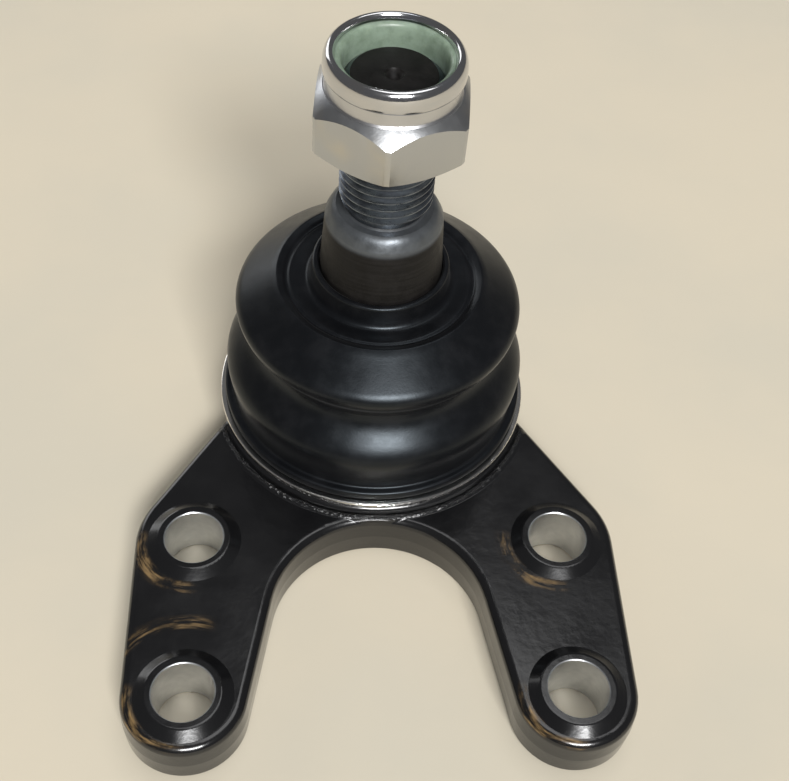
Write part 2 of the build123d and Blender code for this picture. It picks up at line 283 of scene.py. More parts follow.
def dress(piece: bpy.types.Object, *finishes: bpy.types.Material) -> None:
    """Give a piece its finishes.

    Args:
        piece: The piece to dress.
        finishes: Its materials, one for each material index.
    """
    piece.data.materials.clear()
    for finish in finishes:
        piece.data.materials.append(finish)


def repaint(node: str, finish: bpy.types.Material) -> bpy.types.Object:
    """Put a finish on a CAD node, whose shape stays as it is.

    Args:
        node: The node's name.
        finish: Its new material.

    Returns:
        The node's object.
    """
    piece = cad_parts[node]
    for slot in piece.material_slots:
        slot.material = finish
    return piece


def on_axis(height: float) -> Place:
    """A point on the stud's axis, in metres, from its height in millimetres."""
    return (0.0, STUD_Y * MM, height * MM)


# ---------------------------------------------------------------- finishes


class Graph:
    """A finish's node tree: one shader, fed by patterns that are fixed to the piece."""

    def __init__(self, name: str, **sockets: object) -> None:
        """Start a finish.

        Args:
            name: The material's name.
            sockets: Constant values for the shader's own sockets, spaces written as underscores.
        """
        self.material = bpy.data.materials.new(name)
        self.material.use_nodes = True
        self.tree = self.material.node_tree
        self.shader = self.tree.nodes["Principled BSDF"]
        for key, value in sockets.items():
            self.shader.inputs[key.replace("_", " ")].default_value = value
        self.place = self.tree.nodes.new("ShaderNodeTexCoord").outputs["Object"]

    def add(self, kind: str, inputs: dict[int | str, object] | None = None,
            **settings: object) -> bpy.types.Node:
        """Add one node.

        Args:
            kind: The node's type, without the ShaderNode prefix.
            inputs: Values or outputs for its inputs, by name or index.
            settings: Values for the node's own properties.

        Returns:
            The new node.
        """
        node = self.tree.nodes.new("ShaderNode" + kind)
        for name, value in settings.items():
            setattr(node, name, value)
        for key, value in (inputs or {}).items():
            if isinstance(value, Socket):
                self.tree.links.new(value, node.inputs[key])
            else:
                node.inputs[key].default_value = value
        return node

    def ringed(self, squeeze: float) -> Socket:
        """The piece's coordinates, squeezed sideways so that a pattern on them lies in level rings."""
        return self.add("Mapping", {"Vector": self.place, "Scale": (squeeze, squeeze, 1.0)}).outputs[0]

    def noise(self, size: float, detail: float = 3.0, rough: float = 0.5,
              place: Socket | None = None) -> Socket:
        """Soft cloudy noise.

        Args:
            size: Size of its blotches in millimetres.
            detail: How many finer layers it has.
            rough: How strong the finer layers are.
            place: Coordinates other than the piece's own.

        Returns:
            The noise, from 0 to 1.
        """
        inputs = {"Vector": place or self.place, "Scale": 1 / (size * MM),
                  "Detail": detail, "Roughness": rough}
        return self.add("TexNoise", inputs).outputs["Fac"]

    def math(self, how: Sum, a: object, b: object = 0.0) -> Socket:
        """One sum on two values or outputs."""
        return self.add("Math", {0: a, 1: b}, operation=how.value).outputs[0]

    def times(self, first: object, *others: object) -> Socket:
        """Multiply values or outputs.

        Args:
            first: The first of them.
            others: The rest.

        Returns:
            Their product.
        """
        for other in others:
            first = self.math(Sum.TIMES, first, other)
        return first

    def less(self, a: object, b: object) -> Socket:
        """The first value or output less the second."""
        return self.math(Sum.LESS, a, b)

    def length(self, x: object, y: object) -> Socket:
        """The length of a flat vector, from its two parts."""
        flat = self.add("CombineXYZ", {"X": x, "Y": y}).outputs[0]
        return self.add("VectorMath", {0: flat}, operation="LENGTH").outputs["Value"]

    def fade(self, source: Socket, low: float, high: float,
             bottom: float = 0.0, top: float = 1.0) -> Socket:
        """A smooth change from one value to another as a source goes from low to high."""
        inputs = {"Value": source, "From Min": low, "From Max": high, "To Min": bottom, "To Max": top}
        return self.add("MapRange", inputs, interpolation_type="SMOOTHSTEP").outputs["Result"]

    def blend(self, factor: Socket, a: object, b: object) -> Socket:
        """Mix two colours.

        Args:
            factor: How much of the second shows, from 0 to 1.
            a: The first colour, as a triple or an output.
            b: The second colour.

        Returns:
            The mixed colour.
        """
        node = self.add("Mix", {"Factor": factor}, data_type="RGBA")
        for key, value in ((6, a), (7, b)):
            if isinstance(value, Socket):
                self.tree.links.new(value, node.inputs[key])
            else:
                node.inputs[key].default_value = (*value, 1.0)
        return node.outputs[2]

    def height(self) -> Socket:
        """The height of a point on the piece, in metres."""
        return self.add("SeparateXYZ", {0: self.place}).outputs["Z"]

    def bump(self, relief: Socket, depth: float, over: Socket | None = None) -> Socket:
        """Turn a relief into a bumped normal.

        Args:
            relief: The relief, from 0 to 1.
            depth: What a relief of 1 stands proud, in millimetres.
            over: The normal of a coarser relief under this one.

        Returns:
            The bumped normal.
        """
        inputs: dict[int | str, object] = {"Height": relief, "Distance": depth * MM, "Strength": 1.0}
        if over is not None:
            inputs["Normal"] = over
        return self.add("Bump", inputs).outputs[0]

    def wire(self, **outputs: Socket) -> bpy.types.Material:
        """Connect outputs to the shader's sockets.

        Args:
            outputs: The outputs by socket name, spaces written as underscores.

        Returns:
            The finished material.
        """
        for key, value in outputs.items():
            self.tree.links.new(value, self.shader.inputs[key.replace("_", " ")])
        return self.material


@dataclass(frozen=True)
class PaintedReflectionArc:
    """One arc of painted reflection beside a pad: brown-gold colour standing in for the warm surroundings seen
    in the pad's slope.

    Its middle lies to the left and near side by the two parts of a unit direction, its radius is the inner
    one, and its spread is the cosine of half the angle that it spans.
    """

    to_left: float
    to_near: float
    radius: float
    spread: float
    soft_spread: float = 0.25
    edge: float = 0.8
    width: float = 2.6

    def mask(self, graph: Graph, reach: Socket, left: Socket, near: Socket) -> Socket:
        """Where the arc lies.

        Args:
            graph: The finish's node tree.
            reach: Distance from the nearest hole's axis, in metres.
            left: How far left of that axis a point is, in metres.
            near: How far in front of it.

        Returns:
            The arc, from 0 to 1.
        """
        along = graph.math(Sum.ADD, graph.times(left, self.to_left), graph.times(near, self.to_near))
        facing = graph.fade(graph.math(Sum.OVER, along, reach), self.spread, self.spread + self.soft_spread)
        inner = graph.fade(reach, (self.radius - self.edge) * MM, self.radius * MM)
        outer = graph.fade(reach, (self.radius + self.width) * MM, (self.radius + self.edge) * MM)
        return graph.times(inner, outer, facing)


@dataclass(frozen=True)
class ForgedPaint:
    """Glossy black paint over forging skin, with the four bolt holes bored bare through it and brown
    reflections painted in arcs beside the pads.
    """

    black: Colour = (0.006, 0.006, 0.0065)
    # Brown-gold colour of the painted reflections beside the pads.
    worn_and_reflection: Colour = (0.30, 0.19, 0.075)
    steel: Colour = (0.86, 0.87, 0.88)
    dull_steel: Colour = (0.62, 0.64, 0.66)
    hole_x: float = 33.0
    hole_y: float = 15.0
    bare_r: float = 5.45
    bare_edge: float = 0.12
    bare_rough: float = 0.30
    # Arcs of painted reflection: brown-gold where the pads' slopes would mirror warm surroundings.
    near_reflection_arc: PaintedReflectionArc = PaintedReflectionArc(to_left=0.75, to_near=0.66, radius=9.0, spread=0.55)
    far_reflection_arc: PaintedReflectionArc = PaintedReflectionArc(to_left=0.35, to_near=-0.937, radius=12.9, spread=0.72)
    streak: float = 0.8
    streak_turn: float = 1.3
    patch: float = 5.5
    top_z: float = 9.8
    edge_r: float = 1.6
    lump: float = 7.5
    lump_depth: float = 0.07
    grain: float = 1.6
    grain_depth: float = 0.03
    flash_size: float = 1.3
    flash_r: float = 30.9
    flash_reach: float = 1.1
    flash_core: float = 0.2
    flash_depth: float = 0.9
    metal_cloud: float = 1.4
    glaze: float = 9.0
    reflection_arc_rough: float = 0.3
    coat: float = 0.3

    def painted_reflection(self, graph: Graph, x: Socket, y: Socket, z: Socket, reach: Socket) -> Socket:
        """Where brown reflections are painted: near left of each pad, and once behind the left front one.

        Args:
            graph: The finish's node tree.
            x: The point's place across the flange, in metres.
            y: Its place along the arms.
            z: Its height.
            reach: Its distance from the nearest hole's axis.

        Returns:
            The painted reflection, from 0 to 1.
        """
        left = graph.less(graph.times(graph.math(Sum.SIGN, x), self.hole_x * MM), x)
        near = graph.less(graph.times(graph.math(Sum.SIGN, y), self.hole_y * MM), y)
        run = graph.times(graph.math(Sum.ANGLE, near, left), self.streak_turn * MM)
        rings = graph.add("CombineXYZ", {"X": reach, "Y": run, "Z": z}).outputs[0]
        streaks = graph.fade(graph.noise(self.streak, 3, 0.6, rings), 0.42, 0.72)
        patches = graph.fade(graph.noise(self.patch, 4, 0.65), 0.32, 0.66)
        front_left = graph.times(graph.math(Sum.BELOW, x, 0.0), graph.math(Sum.BELOW, y, 0.0))
        behind = graph.times(self.far_reflection_arc.mask(graph, reach, left, near), front_left)
        arcs = graph.math(Sum.LARGER, self.near_reflection_arc.mask(graph, reach, left, near), behind)
        on_top = graph.fade(z, (self.top_z - self.edge_r) * MM, (self.top_z - self.edge_r + 1.0) * MM)
        return graph.times(arcs, on_top, patches, streaks)

    def relief(self, graph: Graph, x: Socket, y: Socket) -> Socket:
        """The forging's skin, and the rough line of trimmed flash where the boss meets the flange.

        Args:
            graph: The finish's node tree.
            x: The point's place across the flange, in metres.
            y: Its place along the arms.

        Returns:
            The bumped normal.
        """
        lumps = graph.bump(graph.noise(self.lump, 3, 0.5), self.lump_depth)
        skin = graph.bump(graph.noise(self.grain, 3, 0.55), self.grain_depth, lumps)
        from_stud = graph.length(x, graph.less(y, STUD_Y * MM))
        off_line = graph.math(Sum.SIZE, graph.less(from_stud, self.flash_r * MM))
        line = graph.fade(off_line, self.flash_reach * MM, self.flash_core * MM)
        flash = graph.times(line, graph.noise(self.flash_size, 3, 0.6))
        return graph.bump(flash, self.flash_depth, skin)

    def make(self) -> bpy.types.Material:
        """Build the material.

        Returns:
            The finish, ready for a piece.
        """
        graph = Graph("forged_black_paint", IOR=1.5, Coat_Roughness=0.12)
        axes = graph.add("SeparateXYZ", {0: graph.place}).outputs
        x, y, z = axes["X"], axes["Y"], axes["Z"]
        reach = graph.length(graph.less(graph.math(Sum.SIZE, x), self.hole_x * MM),
                             graph.less(graph.math(Sum.SIZE, y), self.hole_y * MM))
        bare = graph.fade(reach, self.bare_r * MM, (self.bare_r - self.bare_edge) * MM)
        painted_reflection_mask = self.painted_reflection(graph, x, y, z, reach)
        metal = graph.blend(graph.noise(self.metal_cloud), self.steel, self.dull_steel)
        # Black paint, brown-gold painted reflections in arcs beside the pads, and bare steel in the bores.
        colour = graph.blend(bare, graph.blend(painted_reflection_mask, self.black, self.worn_and_reflection), metal)
        glaze = graph.fade(graph.noise(self.glaze, 2), 0.3, 0.7, 0.16, 0.26)
        rough = graph.math(Sum.ADD, glaze, graph.times(painted_reflection_mask, self.reflection_arc_rough))
        rough = graph.math(Sum.LARGER, rough, graph.times(bare, self.bare_rough))
        coat = graph.less(self.coat, graph.times(bare, self.coat))
        return graph.wire(Base_Color=colour, Roughness=rough, Metallic=bare, Coat_Weight=coat,
                          Normal=self.relief(graph, x, y))


@dataclass(frozen=True)
class Plate:
    """Zinc plate with faint blue and straw tints, matt below bright_z where that height is given."""

    name: str = "zinc_plate"
    silver: Colour = (0.74, 0.74, 0.73)
    straw: Colour = (0.70, 0.63, 0.49)
    blue: Colour = (0.60, 0.65, 0.75)
    tint_size: float = 9.0
    blue_size: float = 8.0
    low: float = 0.16
    high: float = 0.30
    cloud: float = 2.6
    grain: float = 0.9
    grain_depth: float = 0.012
    bright_z: float = 0.0
    wall_rough: float = 0.30

    def make(self) -> bpy.types.Material:
        """Build the material.

        Returns:
            The finish, ready for a piece.
        """
        graph = Graph(self.name, Metallic=1.0)
        tint = graph.blend(graph.fade(graph.noise(self.tint_size, 2), 0.50, 0.95), self.silver, self.straw)
        colour = graph.blend(graph.fade(graph.noise(self.blue_size, 2), 0.55, 0.98), tint, self.blue)
        rough = graph.fade(graph.noise(self.cloud, 4, 0.6), 0.3, 0.75, self.low, self.high)
        if self.bright_z:
            above, below = (self.bright_z + 0.5) * MM, (self.bright_z - 0.5) * MM
            wall = graph.fade(graph.height(), above, below, 0.0, self.wall_rough)
            rough = graph.math(Sum.LARGER, rough, wall)
        relief = graph.bump(graph.noise(self.grain, 3, 0.5), self.grain_depth)
        return graph.wire(Base_Color=colour, Roughness=rough, Normal=relief)


@dataclass(frozen=True)
class TurnedSteel:
    """Machined steel with fine turning rings, one above the other."""

    name: str = "stud_steel"
    light: Colour = (0.24, 0.27, 0.31)
    dark: Colour = (0.10, 0.11, 0.13)
    low: float = 0.24
    high: float = 0.40
    ring: float = 0.35
    squeeze: float = 0.03
    ring_depth: float = 0.012
    cloud: float = 3.5
    grain: float = 0.8
    grain_depth: float = 0.02

    def make(self) -> bpy.types.Material:
        """Build the material.

        Returns:
            The finish, ready for a piece.
        """
        graph = Graph(self.name, Metallic=1.0)
        rings = graph.noise(self.ring, 2, 0.5, graph.ringed(self.squeeze))
        cloud = graph.noise(self.cloud, 4, 0.6)
        colour = graph.blend(graph.fade(cloud, 0.35, 0.7), self.light, self.dark)
        rough = graph.fade(graph.math(Sum.ADD, rings, cloud), 0.7, 1.3, self.low, self.high)
        turned = graph.bump(rings, self.ring_depth)
        relief = graph.bump(graph.noise(self.grain, 3), self.grain_depth, turned)
        return graph.wire(Base_Color=colour, Roughness=rough, Normal=relief)


@dataclass(frozen=True)
class Phosphate:
    """Dark grey phosphate coat on the stud's taper, rubbed to satin steel on the crown."""

    name: str = "phosphate_coat"
    coat: Colour = (0.0045, 0.004, 0.0038)
    mottle: Colour = (0.010, 0.009, 0.0085)
    worn_and_reflection: Colour = (0.17, 0.185, 0.20)
    cloud: float = 2.4
    ring: float = 0.45
    squeeze: float = 0.04
    ring_depth: float = 0.005
    grain: float = 0.5
    grain_depth: float = 0.02
    patch: float = 3.5
    edge_z: float = 57.9
    edge_reach: float = 2.4
    edge_core: float = 0.6

    def make(self) -> bpy.types.Material:
        """Build the material.

        Returns:
            The finish, ready for a piece.
        """
        graph = Graph(self.name, Specular_IOR_Level=0.22)
        cloud = graph.noise(self.cloud, 5, 0.65)
        rings = graph.noise(self.ring, 2, 0.5, graph.ringed(self.squeeze))
        base = graph.blend(graph.fade(graph.math(Sum.ADD, cloud, rings), 0.75, 1.25), self.coat, self.mottle)
        off_edge = graph.math(Sum.SIZE, graph.less(graph.height(), self.edge_z * MM))
        band = graph.fade(off_edge, self.edge_reach * MM, self.edge_core * MM)
        rub = graph.times(band, graph.fade(graph.noise(self.patch, 3), 0.25, 0.75, 0.45, 0.9))
        colour = graph.blend(rub, base, self.worn_and_reflection)
        rough = graph.fade(cloud, 0.3, 0.7, 0.34, 0.52)
        turned = graph.bump(rings, self.ring_depth)
        relief = graph.bump(graph.noise(self.grain, 4, 0.6), self.grain_depth, turned)
        return graph.wire(Base_Color=colour, Roughness=rough, Normal=relief, Metallic=rub)


@dataclass(frozen=True)
class Rubber:
    """Black moulded rubber with a satin skin and a little dust."""

    name: str = "boot_rubber"
    black: Colour = (0.004, 0.0042, 0.005)
    dusty: Colour = (0.008, 0.008, 0.009)
    low: float = 0.30
    high: float = 0.37
    dust: float = 6.0
    cloud: float = 3.0
    swell: float = 9.0
    swell_depth: float = 0.05
    grain: float = 0.45
    grain_depth: float = 0.010

    def make(self) -> bpy.types.Material:
        """Build the material.

        Returns:
            The finish, ready for a piece.
        """
        graph = Graph(self.name, Specular_IOR_Level=0.32, Sheen_Weight=0.02, Sheen_Roughness=0.4,
                      Specular_Tint=(0.80, 0.91, 1.0, 1.0))
        dust = graph.fade(graph.noise(self.dust, 5, 0.6), 0.42, 0.78)
        colour = graph.blend(dust, self.black, self.dusty)
        rough = graph.fade(graph.noise(self.cloud, 4, 0.6), 0.3, 0.7, self.low, self.high)
        swell = graph.bump(graph.noise(self.swell, 2), self.swell_depth)
        relief = graph.bump(graph.noise(self.grain, 3, 0.6), self.grain_depth, swell)
        return graph.wire(Base_Color=colour, Roughness=rough, Normal=relief)


@dataclass(frozen=True)
class Nylon:
    """Pale grey-green nylon that lets a little light in."""

    pale: Colour = (0.25, 0.32, 0.245)
    deep: Colour = (0.17, 0.225, 0.165)
    cloud: float = 2.2
    ring: float = 0.4
    squeeze: float = 0.05
    ring_depth: float = 0.02

    def make(self) -> bpy.types.Material:
        """Build the material.

        Returns:
            The finish, ready for a piece.
        """
        graph = Graph("nylon", IOR=1.53, Subsurface_Weight=0.35, Subsurface_Scale=0.002,
                      Subsurface_Radius=(1.0, 1.0, 0.7))
        cloud = graph.noise(self.cloud, 4, 0.6)
        colour = graph.blend(graph.fade(cloud, 0.35, 0.7), self.pale, self.deep)
        rough = graph.fade(cloud, 0.3, 0.7, 0.30, 0.44)
        rings = graph.noise(self.ring, 2, 0.5, graph.ringed(self.squeeze))
        return graph.wire(Base_Color=colour, Roughness=rough, Normal=graph.bump(rings, self.ring_depth))


@dataclass(frozen=True)
class Bench:
    """The pale painted bench top that the joint stands on."""

    pale: Colour = (0.67, 0.60, 0.47)
    grey: Colour = (0.62, 0.57, 0.46)
    cloud: float = 90.0
    scuff: float = 25.0
    grain: float = 4.0
    grain_depth: float = 0.03

    def make(self) -> bpy.types.Material:
        """Build the material.

        Returns:
            The finish, ready for a piece.
        """
        graph = Graph("bench_top", Specular_IOR_Level=0.2)
        cloud = graph.fade(graph.noise(self.cloud, 4, 0.55), 0.35, 0.7)
        colour = graph.blend(cloud, self.pale, self.grey)
        rough = graph.fade(graph.noise(self.scuff, 3), 0.3, 0.7, 0.62, 0.78)
        relief = graph.bump(graph.noise(self.grain, 3), self.grain_depth)
        return graph.wire(Base_Color=colour, Roughness=rough, Normal=relief)


# ---------------------------------------------------------------- sub-assemblies


@dataclass
class Housing:
    """The forged Y flange with its socket, bearing and bottom closure, which keep their CAD shapes."""

    paint: ForgedPaint = ForgedPaint()
    cover: Plate = Plate()
    ring: Plate = Plate("ring_zinc_plate", silver=(0.92, 0.90, 0.86), low=0.11, high=0.20)
    bearing: TurnedSteel = TurnedSteel("bearing_steel", (0.62, 0.62, 0.63), (0.48, 0.48, 0.50), 0.14, 0.26)
    spring: TurnedSteel = TurnedSteel("spring_steel", (0.26, 0.25, 0.25), (0.13, 0.13, 0.14), 0.30, 0.46)
    seal: Rubber = Rubber("seal_rubber", (0.014, 0.014, 0.014), (0.026, 0.026, 0.026), 0.4, 0.55)

    def build(self) -> list[bpy.types.Object]:
        """Dress the housing's nodes.

        Returns:
            The nodes' objects.
        """
        bearing, spring = self.bearing.make(), self.spring.make()
        finishes = {
            "housing_forging": self.paint.make(),
            "bottom_cover": self.cover.make(),
            "boot_ring": self.ring.make(),
            "upper_seat": bearing,
            "lower_seat": bearing,
            "preload_spring": spring,
            "snap_ring": spring,
            "boot_lip_ring": spring,
            "cover_o_ring": self.seal.make(),
        }
        return [repaint(node, finish) for node, finish in finishes.items()]


@dataclass
class Boot:
    """The two-lobe rubber bellows, made as two turned pieces that meet at the crease between the lobes."""

    rubber: Rubber = Rubber()
    wall: float = 1.8
    bead_r: float = 28.9
    bead_foot_r: float = 26.25
    bead_z: float = 12.3
    bead_top_z: float = 14.2
    waist_r: float = 27.4
    waist_z: float = 15.2
    lower_r: float = 28.2
    lower_z: float = 21.5
    crease_r: float = 23.0
    crease_z: float = 29.8
    upper_r: float = 26.1
    upper_z: float = 36.2
    flank_r: float = 24.8
    flank_z: float = 38.15
    flank_out: Point = (0.6, 0.8)
    crown_r: float = 18.8
    crown_z: float = 42.5
    crown_slope: float = 37.0
    crown_edge: float = 0.45
    trough_in: float = 1.1
    trough_drop: float = 0.35
    trough_way: Point = (-0.95, -0.3)
    ridge_r: float = 16.2
    ridge_h: float = 0.25
    ridge_foot: float = 0.7
    dish_r: float = 13.6
    dish_z: float = 41.6
    lip_r: float = 12.3
    lip_rise: Point = (0.25, 1.5)
    lip_way: Point = (-0.08, 1.0)
    lip_bore_r: float = 11.1
    lip_bore_edge: float = 0.3
    lip_top_z: float = 45.8
    lip_foot_z: float = 39.6
    lip_foot_in: float = 0.4
    groove_r: float = 14.2
    soft: float = 0.5
    lower_steps: int = 14
    upper_steps: int = 12
    top_steps: int = 5
    lip_steps: int = 6
    steps: int = 160
    smooth_deg: float = 35.0

    def skin_lower(self, inset: float) -> Outline:
        """The lower lobe's skin from the bead to the crease, some depth under its outer surface."""
        stations = ((self.waist_r, self.waist_z), (self.lower_r, self.lower_z), (self.crease_r, self.crease_z))
        return sweep([((r - inset, z), UP) for r, z in stations], self.lower_steps)

    def skin_upper(self, inset: float) -> Outline:
        """The upper lobe's skin from the crease to the crown's edge.

        Args:
            inset: How deep under the outer surface it lies, in millimetres.

        Returns:
            The skin's points, from the crease up.
        """
        slope = math.radians(self.crown_slope)
        along = (-math.cos(slope), math.sin(slope))
        crease, bulge = (self.crease_r - inset, self.crease_z), (self.upper_r - inset, self.upper_z)
        flank = (self.flank_r - inset * self.flank_out[0], self.flank_z - inset * self.flank_out[1])
        shoulder = (self.crown_r - inset * math.tan(slope / 2), self.crown_z - inset)
        return sweep([(crease, UP), (bulge, UP), (flank, along), (shoulder, along)], self.upper_steps)

    def top(self) -> Outline:
        """The rounded crown's edge, the trough inside it and the low ridge round the dish.

        Returns:
            The points, from the crown's edge inwards.
        """
        edge = self.crown_edge
        centre = (self.crown_r - edge * self.flank_out[0], self.crown_z - edge)
        trough = (self.crown_r - self.trough_in, self.crown_z - self.trough_drop)
        return arc(centre, edge, 55, 115, self.top_steps) + sweep([
            (trough, self.trough_way),
            ((self.ridge_r + self.ridge_foot, self.dish_z), INWARD),
            ((self.ridge_r, self.dish_z + self.ridge_h), INWARD),
            ((self.dish_r, self.dish_z), INWARD),
        ], self.top_steps)

    def lower(self) -> bpy.types.Object:
        """Make the lower lobe with its bead on the boss.

        Returns:
            The lobe, which ends at the crease.
        """
        soft = self.soft
        bead = [(self.bead_foot_r, self.bead_z), (self.bead_r - soft, self.bead_z)]
        bead += arc((self.bead_r - soft, self.bead_z + soft), soft, -60, 0, 3)
        bead += arc((self.bead_r - soft, self.bead_top_z - soft), soft, 0, 90, 4)
        bead += arc((self.waist_r + soft, self.bead_top_z + soft), soft, -90, -180, 4)
        outline = bead + self.skin_lower(0.0) + self.skin_lower(self.wall)[::-1]
        return turn("boot_lower_lobe", outline + [(self.bead_foot_r, self.bead_top_z)], self.steps)

    def upper(self) -> bpy.types.Object:
        """Make the upper lobe with its dished top and the lip round the stud.

        Returns:
            The lobe, which starts at the crease.
        """
        soft, bore_edge = self.soft, self.lip_bore_edge
        foot, rim = (self.dish_r, self.dish_z), (self.lip_r, self.lip_top_z - soft)
        rise = (self.lip_r + self.lip_rise[0], self.dish_z + self.lip_rise[1])
        outline = self.skin_upper(0.0)[:-1] + self.top()
        outline += sweep([(foot, INWARD), (rise, self.lip_way), (rim, UP)], self.lip_steps)[1:]
        outline += arc((self.lip_r - soft, self.lip_top_z - soft), soft, 0, 90, 4)[1:]
        outline += [(self.lip_bore_r + bore_edge, self.lip_top_z)]
        outline += [(self.lip_bore_r, self.lip_top_z - bore_edge)]
        outline += [(self.lip_bore_r + self.lip_foot_in, self.lip_foot_z), (self.groove_r, self.lip_foot_z)]
        outline += [(self.ridge_r, self.dish_z - self.wall)]
        return turn("boot_upper_lobe", outline + self.skin_upper(self.wall)[::-1], self.steps)

    def build(self) -> list[bpy.types.Object]:
        """Make both lobes and dress them.

        Returns:
            The two lobes.
        """
        rubber = self.rubber.make()
        lower, upper = self.lower(), self.upper()
        for piece, low, high, start, end in (
            (lower, Body.HOUSING, Body.BOOT, self.bead_top_z, self.crease_z),
            (upper, Body.BOOT, Body.BOOT_LIP, self.crease_z, self.lip_foot_z),
        ):
            dress(piece, rubber)
            smooth(piece, self.smooth_deg)
            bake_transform(piece)
            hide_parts("dust_boot")
        return [lower, upper]


@dataclass
class Stud:
    """The ball stud: ball, neck and taper as one turned piece, and its M16 x 1.5 thread as another."""

    coat: Phosphate = Phosphate()
    # Near-black coat on the tip's end face and centre hole: painted shade for the shadow inside the nut's
    # collar.
    end_painted_shade: Phosphate = Phosphate(name="stud_end_painted_shade")
    ball: TurnedSteel = TurnedSteel("ball_steel", (0.66, 0.66, 0.66), (0.55, 0.55, 0.56), 0.08, 0.16)
    steel: TurnedSteel = TurnedSteel()
    ball_r: float = 12.5
    ball_top: float = 9.0
    neck_r: float = 7.0
    neck_top_z: float = 33.55
    shoulder_r: float = 11.325
    shoulder_z: float = 38.8
    shoulder_h: float = 0.4
    flare_in: Point = (0.25, 0.1)
    flare_way: Point = (0.75, 0.66)
    taper_r: float = 10.2
    taper_z: float = 56.8
    taper_end: Point = (0.02, 0.1)
    taper_way: Point = (-0.45, 0.89)
    crown_r: float = 8.4
    crown_z: float = 59.3
    crown_way: Point = (-0.9, 0.44)
    core_r: float = 6.9
    core_edge: float = 0.3
    overlap: float = 1.0
    slack: float = 0.1
    undercut_drop: float = 0.4
    run_in: Point = (0.2, 0.7)
    thread_z: float = 61.0
    crest_r: float = 8.0
    root_r: float = 7.08
    pitch: float = 1.5
    lead_turns: int = 2
    spare_turns: int = 4
    tip_z: float = 85.7
    tip_chamfer: float = 1.1
    centre_r: float = 1.6
    steps: int = 128
    ball_steps: int = 36
    edge_steps: int = 8
    thread_steps: int = 72
    smooth_deg: float = 30.0

    def shank(self) -> bpy.types.Object:
        """Turn the ball, neck, taper and crown, up to the undercut's core.

        Returns:
            The shank as one piece.
        """
        neck_angle = math.degrees(math.acos(self.neck_r / self.ball_r))
        neck, crown = (self.neck_r, self.neck_top_z), (self.crown_r, self.crown_z)
        flare = (self.shoulder_r - self.flare_in[0], self.shoulder_z - self.flare_in[1])
        taper = (self.taper_r + self.taper_end[0], self.taper_z - self.taper_end[1])
        end_z = self.thread_z + self.overlap
        outline = arc((0.0, BALL_Z), self.ball_r, -90, neck_angle, self.ball_steps)
        outline += sweep([(neck, UP), (flare, self.flare_way)], self.edge_steps)
        outline += [(self.shoulder_r, self.shoulder_z + self.shoulder_h)]
        outline += sweep([(taper, self.taper_way), (crown, self.crown_way)], self.edge_steps)
        outline += [(self.core_r + self.core_edge, self.crown_z), (self.core_r, self.crown_z + self.core_edge)]
        return turn("stud_shank", outline + [(self.core_r - self.slack, end_z), (0.0, end_z)], self.steps)

    def thread_blank(self) -> bpy.types.Object:
        """Turn the space that the thread keeps to: undercut, run-in, crests, tip and centre hole.

        Returns:
            A tool shape for trimming the thread.
        """
        undercut_z, tip_in = self.crown_z - self.undercut_drop, self.tip_z - self.tip_chamfer
        return turn("thread_blank", [
            (0.0, undercut_z), (self.core_r, undercut_z), (self.core_r, self.thread_z - self.run_in[0]),
            (self.crest_r, self.thread_z + self.run_in[1]), (self.crest_r, tip_in),
            (self.crest_r - self.tip_chamfer, self.tip_z), (self.centre_r, self.tip_z),
            (0.0, self.tip_z - self.centre_r),
        ], self.thread_steps)

    def thread(self) -> bpy.types.Object:
        """Screw one pitch of the thread's profile up the stud, and trim it to the tip and the undercut.

        Returns:
            The threaded end as one closed piece.
        """
        flat_crest, flat_root = self.pitch / 8, self.pitch / 4
        flank = (self.pitch - flat_crest - flat_root) / 2
        profile = [(self.root_r, 0.0), (self.root_r, flat_root), (self.crest_r, flat_root + flank),
                   (self.crest_r, flat_root + flank + flat_crest), (self.root_r, self.pitch)]
        deselect()
        start_z = self.thread_z - self.lead_turns * self.pitch
        bpy.ops.mesh.primitive_plane_add(size=MM, location=on_axis(start_z))
        piece = named("stud_thread")
        with editing(piece):
            bpy.ops.mesh.select_all(action="SELECT")
            bpy.ops.mesh.merge(type="CENTER")
            bpy.ops.transform.translate(value=(self.root_r * MM, 0, 0))
            for start, end in zip(profile, profile[1:]):
                extrude_run(start, end)
        turns = math.ceil((self.tip_z - self.thread_z) / self.pitch) + self.spare_turns
        add_modifier(piece, "SCREW", axis="Z", angle=math.tau, screw_offset=self.pitch * MM, iterations=turns,
                     steps=self.thread_steps, render_steps=self.thread_steps, use_merge_vertices=True,
                     merge_threshold=MERGE_M, use_smooth_shade=False)
        with editing(piece):
            bpy.ops.mesh.select_mode(type="VERT")
            merge_points()
            bpy.ops.mesh.select_all(action="DESELECT")
            bpy.ops.mesh.select_non_manifold()
            bpy.ops.mesh.extrude_edges_move()
            bpy.ops.mesh.merge(type="COLLAPSE")
            bpy.ops.mesh.select_all(action="SELECT")
            bpy.ops.mesh.normals_make_consistent(inside=False)
        pick(piece)
        bpy.ops.object.transform_apply(location=True, rotation=True, scale=True)
        combine(piece, self.thread_blank(), Combine.KEEP_COMMON)
        return piece

    def build(self) -> list[bpy.types.Object]:
        """Make the stud's pieces and dress them.

        Returns:
            The shank and the threaded end.
        """
        shank = self.shank()
        dress(shank, self.coat.make(), self.ball.make())
        for face in shank.data.polygons:
            face.material_index = int(face.center.z < (BALL_Z + self.ball_top) * MM)
        thread = self.thread()
        dress(thread, self.steel.make(), self.end_painted_shade.make())
